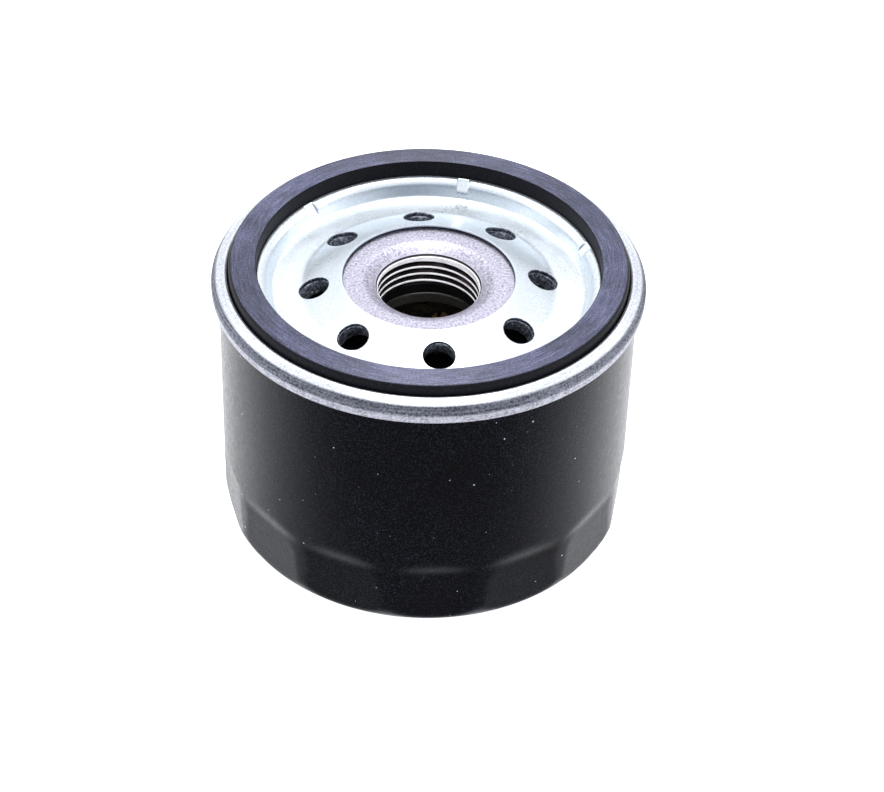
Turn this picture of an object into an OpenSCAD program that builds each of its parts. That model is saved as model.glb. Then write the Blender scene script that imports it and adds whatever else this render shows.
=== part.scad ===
// Spin-on oil filter for a small engine, stood on its closed end.
// Origin: centre of the closed end's resting ring. +Z runs up the axis to the gasket.
// Millimetres.

/* [Overall] */
// Height from the closed end to the sealing face of the gasket
overall_h = 55; // [53:0.5:70]

/* [Can] */
// Outside diameter of the drawn steel can
can_od = 75.5; // [75.5:0.1:76.5]
// Sheet thickness of the can
can_t = 0.4; // [0.3:0.05:0.4]
// Number of wrench flats round the closed end
flute_n = 14; // [12:1:15]
// Height at which the flats' shoulder starts
flute_h = 14.6; // [10:0.2:16]
// Distance from the axis to a flat, just under its shoulder
flute_a = 37.2; // [36.8:0.05:37.5]
// Distance from the axis to a flat, at the closed end
flute_b = 36.9; // [36.5:0.05:37.2]
// Azimuth of the first flat, degrees
flute_az = -86.5; // [-180:0.5:180]
// Radius of the corner between the wall and the closed end
corner_r = 4.4; // [3:0.1:5]
// Depth of the pressed panel in the closed end
panel_d = 0.8; // [0.4:0.1:1.2]

/* [Lid] */
// Sheet thickness of the lid
lid_t = 0.6; // [0.4:0.05:0.6]
// Diameter of the lid's centre opening
lid_open_d = 31.26; // [30:0.1:31.5]
// Number of inlet holes
inlet_n = 8; // [6:1:8]
// Diameter of an inlet hole, square to the cone
inlet_d = 5.6; // [4.5:0.1:5.8]
// Pitch circle diameter of the inlet holes
inlet_pcd = 41.42; // [41:0.1:42]
// Azimuth of the first inlet hole, degrees
inlet_az = 96; // [0:0.5:180]
// Number of gasket retention dents in the lip
dent_n = 6; // [3:1:6]
// Azimuth of the first dent, degrees
dent_az = 18.5; // [0:0.5:60]

/* [Gasket] */
// Outside diameter of the gasket
gasket_od = 71.8; // [71.4:0.1:72]
// Inside diameter of the gasket
gasket_id = 62; // [62:0.1:63]
// Height of the gasket's square section
gasket_h = 5; // [4.8:0.1:5]

/* [Thread] */
// Major diameter of the engine thread
thread_d = 20; // [18:0.5:20]
// Pitch of the engine thread
thread_p = 1.5; // [1:0.25:1.5]
// Outside diameter of the drawn thread collar
collar_od = 24.6; // [24.4:0.1:24.8]

/* [Element] */
// Outside diameter of the element's end caps
element_od = 66; // [64:0.5:68]
// Number of pleats in the paper
pleat_n = 50; // [36:1:52]
// Thickness of the pleated paper
paper_t = 0.5; // [0.3:0.05:0.55]
// Outside diameter of the perforated centre tube
tube_od = 31.2; // [31:0.1:31.2]
// Holes in one row round the centre tube
tube_holes = 12; // [8:1:14]
// Diameter of a hole in the centre tube
tube_hole_d = 4; // [3:0.1:4.4]

/* [Springs] */
// Wire diameter of the bypass spring
wire_d = 1; // [0.8:0.1:1.2]
// Turns of the bypass spring, end turns included
coil_n = 6.5; // [5:0.5:7.5]
// Width of one leaf of the element spring
leaf_w = 9; // [6:0.5:11]

/* [Hidden] */
$fn = 96;

zT = overall_h;
can_r = can_od / 2;
minor_r = (thread_d - 1.0825 * thread_p) / 2;
collar_r = collar_od / 2;
lid_open_r = lid_open_d / 2;
el_r = element_od / 2;
cap_t = 0.45;
cone_s = 0.36;                        // fall of the lid's cone for each mm outwards
cone_a = atan(cone_s);
z_el_top = zT - 15;                   // top of the element
z_el_low = 8.9;                       // underside of the lower end cap
tube_r = tube_od / 2;

// Points of the arc that rounds corner b of the line a-b-c with radius r.
function unit(v) = v / norm(v);
function arc_at(a, b, c, r, n) =
    r <= 0 ? [b] :
    let (u = unit(a - b), v = unit(c - b),
         half = acos(max(-1, min(1, u * v))) / 2,
         d = r / tan(half),
         m = b + unit(u + v) * r / sin(half),
         p = b + u * d - m, q = b + v * d - m,
         a0 = atan2(p[1], p[0]),
         turn = atan2(p[0] * q[1] - p[1] * q[0], p * q))
    [for (i = [0 : n]) m + r * [cos(a0 + turn * i / n), sin(a0 + turn * i / n)]];

// A line of [x, y, corner radius] entries, with its corners rounded.
function rounded(p, n = 5) =
    [for (i = [0 : len(p) - 1])
        each (i == 0 || i == len(p) - 1) ? [[p[i][0], p[i][1]]]
        : arc_at([p[i-1][0], p[i-1][1]], [p[i][0], p[i][1]],
                 [p[i+1][0], p[i+1][1]], p[i][2], n)];

// The same line moved t to its right-hand side, mitred at its corners.
function right_of(v) = [v[1], -v[0]];
function beside(p, t) =
    [for (i = [0 : len(p) - 1])
        let (n1 = right_of(unit(p[max(i, 1)] - p[max(i, 1) - 1])),
             k = min(i, len(p) - 2),
             n2 = right_of(unit(p[k + 1] - p[k])),
             m = n1 + n2)
        p[i] + m * (t / (1 + n1 * n2))];
function backwards(p) = [for (i = [len(p) - 1 : -1 : 0]) p[i]];
// A sheet of thickness t along a line, as one closed outline.
function sheet(p, t) = concat(p, backwards(beside(p, t)));
function up(p, z) = [for (q = p) [q[0], q[1] + z]];

// ---------------------------------------------------------------- can
// The pressed shape of the can, o mm inside its outer skin.
module can_shape(o, top) {
    difference() {
        rotate_extrude()
            polygon(concat(
                [[0, panel_d + o], [24.4 - o * 0.4, panel_d + o], [26.2 - o * 0.4, o]],
                arc_at([20, o], [can_r - o, o],
                       [can_r - o, flute_h], corner_r - o, 8),
                [[can_r - o, top], [0, top]]));
        for (k = [0 : flute_n - 1])
            rotate([0, 0, flute_az + k * 360 / flute_n])
                rotate([90, 0, 0])
                    linear_extrude(height = 26, center = true)
                        polygon([[flute_b - o - 0.02, -1],
                                 [flute_a - o, flute_h - 2.0],
                                 [flute_a - o + 0.14, flute_h - 0.7 - o * 0.2],
                                 [flute_a - o + 0.9, flute_h + 1.2 - o * 0.2],
                                 [can_r + 6, flute_h + 1.2 - o * 0.2],
                                 [can_r + 6, -1]]);
    }
}

module can() {
    color([0.045, 0.045, 0.055]) {
        difference() {
            can_shape(0, zT - 20);
            can_shape(can_t, zT - 19);
        }
        // plain wall up to the hook that the seam folds over
        rotate_extrude()
            polygon([[can_r - can_t, zT - 20], [can_r, zT - 20],
                     [can_r, zT - 3.6], [can_r + 0.34, zT - 3.6],
                     [can_r + 0.34, zT - 5.0], [can_r + 0.59, zT - 5.0],
                     [can_r + 0.59, zT - 3.2], [can_r - can_t, zT - 3.2]]);
    }
}

// ---------------------------------------------------------------- lid
// Upper face of the lid, from its centre opening to the gasket channel's outer wall.
lid_line = rounded([
    [lid_open_r, zT - 3.61, 0],
    [23.05, zT - 3.61 - cone_s * (23.05 - 15.63), 3],
    [28.0, zT - 6.28, 1.1],
    [29.0, zT - 3.1, 1.1],
    [30.95, zT - 3.1, 0.7],
    [30.95, zT - 5.0, 0.25],
    [36.16, zT - 5.0, 0.4],
    [36.16, zT - 2.3, 0]]);

module inlet_drills(r) {
    for (k = [0 : inlet_n - 1])
        rotate([0, 0, inlet_az + k * 360 / inlet_n])
            translate([inlet_pcd / 2, 0, zT - 3.61 - cone_s * (inlet_pcd / 2 - 15.63)])
                rotate([0, cone_a, 0])
                    translate([0, 0, -6]) cylinder(r = r, h = 9);
}

module lid() {
    color([0.84, 0.87, 0.90])
    difference() {
        rotate_extrude()
            polygon(concat(
                lid_line,
                // outside of the double seam
                up([[36.28, -1.98], [36.60, -1.79], [37.05, -1.80],
                    [can_r + 0.50, -2.45], [can_r + 0.84, -2.84],
                    [can_r + 0.86, -3.20], [can_r + 1.16, -3.40],
                    [can_r + 1.33, -3.80], [can_r + 1.31, -4.60],
                    [can_r + 1.12, -5.56], [can_r + 0.88, -5.80],
                    [can_r + 0.25, -5.80], [can_r + 0.06, -5.62],
                    [can_r + 0.06, -3.66],
                    // inside of the fold
                    [can_r + 0.29, -3.66], [can_r + 0.29, -5.40],
                    [can_r + 0.64, -5.40], [can_r + 0.64, -3.16],
                    [can_r + 0.16, -2.86], [36.84, -2.36]], zT),
                backwards(beside(lid_line, lid_t))));
        inlet_drills(inlet_d / 2);
        // small dents that hold the gasket in its channel
        for (k = [0 : dent_n - 1])
            rotate([0, 0, dent_az + k * 360 / dent_n])
                translate([28.15, 0, zT - 2.45]) sphere(r = 1.35);
    }
}

module seam_compound() {
    color([0.15, 0.14, 0.13])
    rotate_extrude()
        polygon(up([[36.86, -4.7], [can_r - can_t - 0.06, -4.7],
                    [can_r - can_t - 0.06, -3.12], [can_r + 0.2, -3.12],
                    [can_r - 0.1, -2.9], [36.9, -2.47]], zT));
}

// ---------------------------------------------------------------- tapping plate
module tapping_plate() {
    color([0.72, 0.70, 0.74])
    difference() {
        rotate_extrude()
            polygon(concat(
                // bore, then a countersink, then the rolled mouth
                up([[minor_r + 0.45, -12.7], [minor_r, -12.25],
                    [minor_r, -6.22]], zT),
                [for (i = [0 : 8])
                    [minor_r + 0.31 + 2.49 * (1 - cos(i * 90 / 8)),
                     zT - 5.92 + 1.37 * sin(i * 90 / 8)]],
                up([[16.05, -4.55], [22.72, -6.95], [29.4, -6.95],
                    [30.7, -5.68], [36.9, -5.68], [36.9, -8.28],
                    [31.2, -8.28], [29.9, -9.55], [22.2, -9.55],
                    [15.6, -7.15]], zT),
                arc_at([15.6, zT - 7.15], [collar_r, zT - 7.15],
                       [collar_r, zT - 12], 1, 4),
                up([[collar_r, -12.3], [collar_r - 0.4, -12.7]], zT)));
        inlet_drills(inlet_d / 2);
    }
}

module gasket() {
    color([0.13, 0.13, 0.16])
    rotate_extrude()
        polygon(concat(
            [[gasket_id / 2 + 0.2, zT - 4.98], [gasket_id / 2, zT - 4.78]],
            arc_at([gasket_id / 2, zT - 3], [gasket_id / 2, zT], [33, zT], 0.3, 3),
            arc_at([33, zT], [gasket_od / 2, zT], [gasket_od / 2, zT - 3], 0.3, 3),
            [[gasket_od / 2, zT - 4.78], [gasket_od / 2 - 0.2, zT - 4.98]]));
}

// ---------------------------------------------------------------- anti-drainback valve
module anti_drainback_valve() {
    color([0.10, 0.10, 0.10])
    rotate_extrude()
        polygon(up([[9.9, -14.95], [9.9, -12.76], [collar_r + 0.05, -12.76],
                    [collar_r + 0.05, -11.75], [collar_r + 0.25, -11.55],
                    [14.0, -11.70], [25.9, -9.68], [26.3, -9.62],
                    [26.75, -9.80], [26.7, -10.2], [26.2, -10.42],
                    [15.2, -12.75], [14.6, -13.2], [14.5, -14.6],
                    [14.2, -14.95]], zT));
}

// ---------------------------------------------------------------- element
module upper_end_cap() {
    color([0.78, 0.78, 0.76])
    rotate_extrude()
        polygon(sheet(rounded([[10.5, z_el_top - 2.5, 0], [10.5, z_el_top, 0.9],
                               [el_r, z_el_top, 0.9], [el_r, z_el_top - 2.8, 0]], 4),
                      cap_t));
}

module lower_end_cap() {
    color([0.78, 0.78, 0.76])
    rotate_extrude()
        polygon(sheet(rounded([[el_r, z_el_low + 3.3, 0], [el_r, z_el_low, 0.9],
                               [11.5, z_el_low, 0.9], [11.5, z_el_low + 2.6, 0]], 4),
                      cap_t));
}

module center_tube() {
    h = z_el_top - cap_t - z_el_low - cap_t - 0.1;
    rows = 5;
    color([0.66, 0.64, 0.60])
    difference() {
        translate([0, 0, z_el_low + cap_t + 0.05]) cylinder(r = tube_r, h = h);
        translate([0, 0, z_el_low]) cylinder(r = tube_r - 0.5, h = h + 5);
        for (j = [0 : rows - 1], k = [0 : tube_holes - 1])
            rotate([0, 0, (k + (j % 2) / 2) * 360 / tube_holes + 5])
                translate([tube_r - 2.5, 0, z_el_low + cap_t + h * (j + 0.75) / (rows + 0.5)])
                    rotate([0, 90, 0]) cylinder(d = tube_hole_d, h = 5);
    }
}

// Middle line of the folded paper: a narrow flat at each inner and outer fold.
function pleat_line() =
    let (a = 360 / pleat_n, ri = tube_r + 0.75, ro = el_r - 0.85)
    [for (k = [0 : pleat_n - 1])
        each [[ri, k * a - 0.45 / ri * 57.2958],
              [ri, k * a + 0.45 / ri * 57.2958],
              [ro, (k + 0.5) * a - 0.8 / ro * 57.2958],
              [ro, (k + 0.5) * a + 0.8 / ro * 57.2958]]];
function polar(p) = [for (q = p) q[0] * [cos(q[1]), sin(q[1])]];
function ring_beside(p, t) =
    let (n = len(p))
    [for (i = [0 : n - 1])
        let (n1 = right_of(unit(p[i] - p[(i + n - 1) % n])),
             n2 = right_of(unit(p[(i + 1) % n] - p[i])))
        p[i] + (n1 + n2) * (t / (1 + n1 * n2))];

module pleated_media() {
    line = polar(pleat_line());
    color([0.80, 0.62, 0.30])
    translate([0, 0, z_el_low + cap_t + 1.6])
        linear_extrude(height = z_el_top - z_el_low - 2 * cap_t - 3.2)
            difference() {
                polygon(ring_beside(line, paper_t / 2));
                polygon(ring_beside(line, -paper_t / 2));
            }
}

module media_clip() {
    ro = el_r - 1.2;
    color([0.70, 0.70, 0.68])
    translate([0, 0, z_el_low + cap_t + 1.7])
        linear_extrude(height = z_el_top - z_el_low - 2 * cap_t - 3.4)
            polygon([[25, -0.5], [ro, -0.5], [ro, 0.5], [25, 0.5],
                     [25, 0.2], [ro - 0.3, 0.2], [ro - 0.3, -0.2], [25, -0.2]]);
}

// chamfered outside, where the caps' inside corners are rounded
module potting(z) {
    i = tube_r + 0.06;
    o = el_r - cap_t - 0.05;
    translate([0, 0, z])
        rotate_extrude()
            polygon([[i, 0], [o - 0.35, 0], [o, 0.35], [o, 1.15],
                     [o - 0.35, 1.5], [i, 1.5]]);
}

module upper_potting() {
    color([0.20, 0.13, 0.10]) potting(z_el_top - cap_t - 1.55);
}

module lower_potting() {
    color([0.20, 0.13, 0.10]) potting(z_el_low + cap_t + 0.05);
}

// ---------------------------------------------------------------- bypass valve
module bypass_housing() {
    color([0.75, 0.74, 0.70])
    rotate_extrude()
        polygon([[14.2, 8.2], [14.2, 8.85], [11.42, 8.85], [11.42, 12.3],
                 [11.12, 12.6], [6.5, 12.6], [6.5, 12.0], [10.8, 12.0],
                 [10.8, 8.2]]);
}

module bypass_seal() {
    color([0.12, 0.12, 0.12])
    translate([0, 0, 12.65])
        difference() {
            cylinder(r = 9.4, h = 1);
            translate([0, 0, -1]) cylinder(r = 5.2, h = 3);
        }
}

module bypass_poppet() {
    color([0.80, 0.79, 0.74])
    rotate_extrude()
        polygon([[0, 12.3], [4.6, 12.3], [5.12, 12.8], [5.12, 13.7], [9.6, 13.7],
                 [9.6, 14.4], [5.2, 14.4], [4.8, 15.8], [4.2, 16.1], [0, 16.1]]);
}

// Wire swept along a helix whose end turns lie flat.
coil_z0 = 14.45 + wire_d / 2;
coil_z1 = 26.9 - wire_d / 2;
coil_r = 6.6;
function coil_rise(u) =      // share of the height reached at share u of the turns
    let (e = 0.9 / coil_n, x = (u - e) / (1 - 2 * e)) max(0, min(1, x));
coil_steps = 132;
coil_sides = 8;
module bypass_spring() {
    pts = [for (i = [0 : coil_steps])
        let (u = i / coil_steps, a = u * coil_n * 360,
             s = coil_rise(u),
             e = 0.9 / coil_n,
             z = coil_z0 + min(u, e) * coil_n * wire_d * 1.06
                 + (coil_z1 - coil_z0 - 2 * 0.9 * wire_d * 1.06) * s
                 + max(0, u - 1 + e) * coil_n * wire_d * 1.06)
        for (j = [0 : coil_sides - 1])
            let (b = j * 360 / coil_sides,
                 r = coil_r + wire_d / 2 * cos(b))
            [r * cos(a), r * sin(a), z + wire_d / 2 * sin(b)]];
    n = coil_sides;
    color([0.55, 0.55, 0.57])
    polyhedron(points = pts, faces = concat(
        [[for (j = [0 : n - 1]) j]],
        [for (i = [0 : coil_steps - 1], j = [0 : n - 1])
            [i * n + j, (i + 1) * n + j, (i + 1) * n + (j + 1) % n, i * n + (j + 1) % n]],
        [[for (j = [n - 1 : -1 : 0]) coil_steps * n + j]]));
}

module bypass_retainer() {
    color([0.75, 0.74, 0.70])
    difference() {
        rotate_extrude()
            polygon([[10.1, 12.65], [11.2, 12.65], [11.2, 13.25], [10.75, 13.25],
                     [10.75, 27.2], [10.35, 27.6], [3.0, 27.6], [3.0, 26.95],
                     [10.1, 26.95]]);
        for (a = [0, 90])
            rotate([0, 0, a + 45])
                translate([-15, -5.6, 13.9]) cube([30, 11.2, 12]);
    }
}

// ---------------------------------------------------------------- element spring
module element_spring() {
    leaf = rounded([[9.4, 8.12, 0], [15.8, 8.12, 2], [27.6, 1.06, 1.6],
                    [30.4, 1.95, 0]], 5);
    color([0.50, 0.50, 0.52])
    intersection() {
        rotate_extrude() polygon(sheet(leaf, 0.6));
        union() {
            translate([0, 0, -1]) cylinder(r = 14, h = 12);
            for (k = [0 : 3])
                rotate([0, 0, 20 + k * 90])
                    translate([5, -leaf_w / 2, -1]) cube([30, leaf_w, 12]);
        }
    }
}

can();
lid();
seam_compound();
tapping_plate();
gasket();
anti_drainback_valve();
upper_end_cap();
lower_end_cap();
center_tube();
pleated_media();
media_clip();
upper_potting();
lower_potting();
bypass_housing();
bypass_poppet();
bypass_seal();
bypass_spring();
bypass_retainer();
element_spring();
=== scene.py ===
import math

import bmesh
import bpy
import numpy as np
from mathutils import Matrix, Vector


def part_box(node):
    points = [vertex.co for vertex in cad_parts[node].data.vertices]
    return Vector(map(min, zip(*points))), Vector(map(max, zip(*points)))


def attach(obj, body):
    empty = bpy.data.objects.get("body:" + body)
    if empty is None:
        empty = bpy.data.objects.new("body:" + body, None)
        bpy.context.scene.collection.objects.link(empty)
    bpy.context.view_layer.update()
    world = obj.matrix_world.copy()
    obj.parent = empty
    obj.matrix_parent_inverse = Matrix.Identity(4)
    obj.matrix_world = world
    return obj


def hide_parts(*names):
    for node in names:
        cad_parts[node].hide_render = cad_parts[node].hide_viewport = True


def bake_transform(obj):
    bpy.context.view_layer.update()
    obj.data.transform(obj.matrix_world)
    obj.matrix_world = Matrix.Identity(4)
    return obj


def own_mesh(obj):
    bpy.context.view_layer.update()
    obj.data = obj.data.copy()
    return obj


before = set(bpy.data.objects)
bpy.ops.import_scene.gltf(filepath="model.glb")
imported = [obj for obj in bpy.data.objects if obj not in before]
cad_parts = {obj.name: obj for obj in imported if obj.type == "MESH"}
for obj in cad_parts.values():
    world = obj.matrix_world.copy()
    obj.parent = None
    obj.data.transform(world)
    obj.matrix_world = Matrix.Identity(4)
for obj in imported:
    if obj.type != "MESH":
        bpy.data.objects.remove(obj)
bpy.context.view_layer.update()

RNG = np.random.RandomState(7)
MM = 0.001

# ------------------------------------------------------------------ sizes, in millimetres, from the CAD
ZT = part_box("gasket")[1].z / MM            # sealing face
CAN_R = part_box("lid")[1].x / MM - 1.33     # plain wall of the can
GASKET_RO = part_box("gasket")[1].x / MM
GASKET_RI = 31.0
EL_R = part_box("upper_end_cap")[1].x / MM
EL_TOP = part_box("upper_end_cap")[1].z / MM
EL_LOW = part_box("lower_end_cap")[0].z / MM
TUBE_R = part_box("center_tube")[1].x / MM
FLUTES, FLUTE_AZ = 14, -86.5
HOLES, HOLE_AZ = 8, 96.0
HOLE_R, HOLE_PC = 2.8, 20.71
CONE = 0.36
CONE_A = math.atan(CONE)
THREAD_P, THREAD_MINOR, THREAD_MAJOR = 1.5, 9.188, 10.0


# ------------------------------------------------------------------ outlines
def arc_at(a, b, c, r, n):
    a, b, c = (np.array(p, float) for p in (a, b, c))
    u, v = (a - b) / np.linalg.norm(a - b), (c - b) / np.linalg.norm(c - b)
    half = math.acos(max(-1, min(1, float(u @ v)))) / 2
    if r <= 0 or half > math.pi / 2 - 1e-3:
        return [tuple(b)]
    d = r / math.tan(half)
    m = b + (u + v) / np.linalg.norm(u + v) * r / math.sin(half)
    p, q = b + u * d - m, b + v * d - m
    a0 = math.atan2(p[1], p[0])
    turn = math.atan2(p[0] * q[1] - p[1] * q[0], float(p @ q))
    return [tuple(m + r * np.array([math.cos(a0 + turn * i / n), math.sin(a0 + turn * i / n)])) for i in range(n + 1)]


def rounded(pts, n=6, closed=False):
    out, k = [], len(pts)
    for i, p in enumerate(pts):
        if not closed and i in (0, k - 1):
            out.append((p[0], p[1]))
        else:
            r = p[2] if len(p) > 2 else 0
            out += arc_at(pts[i - 1][:2], p[:2], pts[(i + 1) % k][:2], r, n)
    return out


def beside(pts, t):
    """The line moved t to its right-hand side."""
    p = np.array(pts, float)
    d = np.diff(p, axis=0)
    d /= np.linalg.norm(d, axis=1)[:, None]
    nr = np.c_[d[:, 1], -d[:, 0]]
    n1, n2 = np.vstack([nr[:1], nr]), np.vstack([nr, nr[-1:]])
    m = n1 + n2
    return [tuple(x) for x in p + m * (t / (1 + (n1 * n2).sum(1)))[:, None]]


def split(pts, step, closed=True):
    """Adds points to the outline so that no stretch is longer than step."""
    out, k = [], len(pts)
    for i in range(k if closed else k - 1):
        a, b = np.array(pts[i][:2], float), np.array(pts[(i + 1) % k][:2], float)
        m = max(1, int(math.ceil(np.linalg.norm(b - a) / step)))
        out += [tuple(a + (b - a) * j / m) for j in range(m)]
    if not closed:
        out.append(tuple(pts[-1][:2]))
    return out


# ------------------------------------------------------------------ meshes
class Net:
    def __init__(self):
        self.v, self.f, self.g, self.now = [], [], [], 0

    def face(self, *ids):
        self.f.append(ids)
        self.g.append(self.now)

    def add(self, arr):
        i0 = len(self.v)
        self.v.extend(tuple(float(x) for x in p) for p in arr)
        return list(range(i0, len(self.v)))

    def ring(self, th, r, z):
        r, z = np.broadcast_to(r, th.shape), np.broadcast_to(z, th.shape)
        return self.add(np.c_[r * np.cos(th), r * np.sin(th), z])

    def strip(self, a, b, loop=True):
        n = len(a)
        for i in range(n if loop else n - 1):
            j = (i + 1) % n
            self.face(a[i], a[j], b[j], b[i])

    def fan(self, a, centre):
        c = self.add([centre])[0]
        for i in range(len(a)):
            self.face(a[i], a[(i + 1) % len(a)], c)

    def bm(self):
        bm = bmesh.new()
        vs = [bm.verts.new(p) for p in self.v]
        for f, g in zip(self.f, self.g):
            try:
                bm.faces.new([vs[i] for i in f]).material_index = g
            except ValueError:
                pass
        return bm


def to_object(src, name, mats, sharp=42, weld=1e-4):
    """Closes, cleans and scales a Net or bmesh to metres and makes a smooth-shaded object of it."""
    bm = src.bm() if isinstance(src, Net) else src
    if weld:
        bmesh.ops.remove_doubles(bm, verts=bm.verts, dist=weld)
    loose = [v for v in bm.verts if not v.link_faces]
    bmesh.ops.delete(bm, geom=loose, context="VERTS")
    bmesh.ops.recalc_face_normals(bm, faces=bm.faces)
    if bm.calc_volume(signed=True) < 0:
        bmesh.ops.reverse_faces(bm, faces=bm.faces)
    bmesh.ops.scale(bm, vec=(MM, MM, MM), verts=bm.verts)
    me = bpy.data.meshes.new(name)
    bm.to_mesh(me)
    bm.free()
    for m in mats if isinstance(mats, (list, tuple)) else [mats]:
        me.materials.append(m)
    me.polygons.foreach_set("use_smooth", [True] * len(me.polygons))
    me.set_sharp_from_angle(angle=math.radians(sharp))
    ob = bpy.data.objects.new(name, me)
    bpy.context.scene.collection.objects.link(ob)
    return ob


def angles(n, start=0.0):
    return math.radians(start) + np.arange(n) * 2 * math.pi / n


def revolve(name, outline, mats, n=256, start=0.0, **kw):
    """A closed outline of (r, z) turned round the axis. Points on the axis become one vertex each."""
    net, th = Net(), angles(n, start)
    rings = [net.add([(0, 0, z)]) * n if r < 1e-6 else net.ring(th, r, z) for r, z in [(p[0], p[1]) for p in outline]]
    for i in range(len(rings)):
        a, b = rings[i], rings[(i + 1) % len(rings)]
        if len(set(a)) == 1 and len(set(b)) == 1:
            continue
        if len(set(a)) == 1:
            for j in range(n):
                net.face(a[0], b[(j + 1) % n], b[j])
        elif len(set(b)) == 1:
            for j in range(n):
                net.face(a[j], a[(j + 1) % n], b[0])
        else:
            net.strip(a, b)
    return to_object(net, name, mats, **kw)


def holed_band(net, th, a, b, ta, tb, bounds, k, edge, lift, side=24, rings=7, phis=None, power=1.5):
    """Fills the band between two rings, leaving one round hole in the middle of each sector.
    bounds are the indices into th where the sectors start. Works in (angle, t): t is ta on ring a and tb on ring b.
    Returns the hole rings, with their angles."""
    n = len(th)
    full = np.r_[th, th + 2 * math.pi]
    ts = np.linspace(ta, tb, side + 1)[1:-1]
    sides = {}

    def column(c):
        c %= n
        if c not in sides:
            sides[c] = net.add([lift(th[c], x) for x in ts])
        return sides[c]

    found = []
    for h, i0 in enumerate(bounds):
        i1 = bounds[(h + 1) % len(bounds)]
        i1 += n if i1 <= i0 else 0
        lo, hi = full[i0], full[i1]
        mid = (lo + hi) / 2
        left, right = column(i0), column(i1)
        idx = [a[i % n] for i in range(i0, i1 + 1)] + list(right) + [b[i % n] for i in range(i1, i0 - 1, -1)] + list(left[::-1])
        par = np.array([(full[i], ta) for i in range(i0, i1 + 1)] + [(hi, t) for t in ts]
                       + [(full[i], tb) for i in range(i1, i0 - 1, -1)] + [(lo, t) for t in ts[::-1]])
        tc = edge(mid, 0.0, centre=True)
        ph = np.arctan2(par[:, 1] - tc, (par[:, 0] - mid) * k) if phis is None else phis[h]
        hole = np.array([edge(mid, p) for p in ph])
        last = net.add([lift(x, t) for x, t in hole])
        found.append((last, ph, mid))
        for r in range(1, rings):
            w = (r / rings) ** power
            cur = net.add([lift(x, t) for x, t in hole + (par - hole) * w])
            net.strip(last, cur)
            last = cur
        net.strip(last, idx)
    return found


# ------------------------------------------------------------------ materials
class Tree:
    def __init__(self, name):
        self.m = bpy.data.materials.new(name)
        self.m.use_nodes = True
        self.t = self.m.node_tree
        self.b = self.t.nodes["Principled BSDF"]
        self.co = self.node("ShaderNodeTexCoord").outputs["Object"]

    def node(self, kind, inputs=None, **props):
        n = self.t.nodes.new(kind)
        for k, v in props.items():
            setattr(n, k, v)
        for k, v in (inputs or {}).items():
            s = n.inputs[k]
            if isinstance(v, bpy.types.NodeSocket):
                self.t.links.new(v, s)
            else:
                s.default_value = v
        return n

    def math(self, op, a, b=0.0, c=0.0, clamp=False):
        n = self.node("ShaderNodeMath", operation=op, use_clamp=clamp)
        for i, v in enumerate((a, b, c)):
            if isinstance(v, bpy.types.NodeSocket):
                self.t.links.new(v, n.inputs[i])
            elif i < len(n.inputs):
                n.inputs[i].default_value = v
        return n.outputs[0]

    def noise(self, vec, scale, detail=3.0, rough=0.5, dist=0.0):
        return self.node("ShaderNodeTexNoise", {"Vector": vec, "Scale": scale, "Detail": detail, "Roughness": rough, "Distortion": dist}).outputs["Fac"]

    def ramp(self, fac, stops, mode="LINEAR"):
        n = self.node("ShaderNodeValToRGB", {"Fac": fac})
        n.color_ramp.interpolation = mode
        while len(n.color_ramp.elements) < len(stops):
            n.color_ramp.elements.new(0.5)
        for e, (p, c) in zip(n.color_ramp.elements, stops):
            e.position = p
            e.color = (*c, 1) if len(c) == 3 else c
        return n.outputs["Color"]

    def range(self, v, a, b, c, d):
        return self.node("ShaderNodeMapRange", {"Value": v, "From Min": a, "From Max": b, "To Min": c, "To Max": d}).outputs["Result"]

    def mix(self, fac, a, b, blend="MIX"):
        n = self.node("ShaderNodeMix", data_type="RGBA", blend_type=blend)
        for i, v in ((0, fac), (6, a), (7, b)):
            s = n.inputs[i]
            if isinstance(v, bpy.types.NodeSocket):
                self.t.links.new(v, s)
            else:
                s.default_value = (*v, 1) if isinstance(v, (tuple, list)) and len(v) == 3 else v
        return n.outputs[2]

    def polar(self):
        """(radius, cosine, sine, height) of the point, in metres where it is a length."""
        s = self.node("ShaderNodeSeparateXYZ", {"Vector": self.co})
        x, y, z = s.outputs
        r = self.math("SQRT", self.math("ADD", self.math("MULTIPLY", x, x), self.math("MULTIPLY", y, y)))
        rs = self.math("MAXIMUM", r, 1e-5)
        return r, self.math("DIVIDE", x, rs), self.math("DIVIDE", y, rs), z

    def vec(self, x, y, z):
        return self.node("ShaderNodeCombineXYZ", {"X": x, "Y": y, "Z": z}).outputs[0]

    def bump(self, height, strength, distance, normal=None):
        ins = {"Height": height, "Strength": strength, "Distance": distance}
        if normal is not None:
            ins["Normal"] = normal
        return self.node("ShaderNodeBump", ins).outputs["Normal"]

    def set(self, **kw):
        names = {"color": "Base Color", "rough": "Roughness", "metal": "Metallic", "normal": "Normal",
                 "spec": "Specular IOR Level", "coat": "Coat Weight", "coat_rough": "Coat Roughness",
                 "sheen": "Sheen Weight", "aniso": "Anisotropic", "sss": "Subsurface Weight"}
        for k, v in kw.items():
            s = self.b.inputs[names[k]]
            if isinstance(v, bpy.types.NodeSocket):
                self.t.links.new(v, s)
            else:
                s.default_value = (*v, 1) if isinstance(v, (tuple, list)) and len(v) == 3 else v
        return self.m


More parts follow.
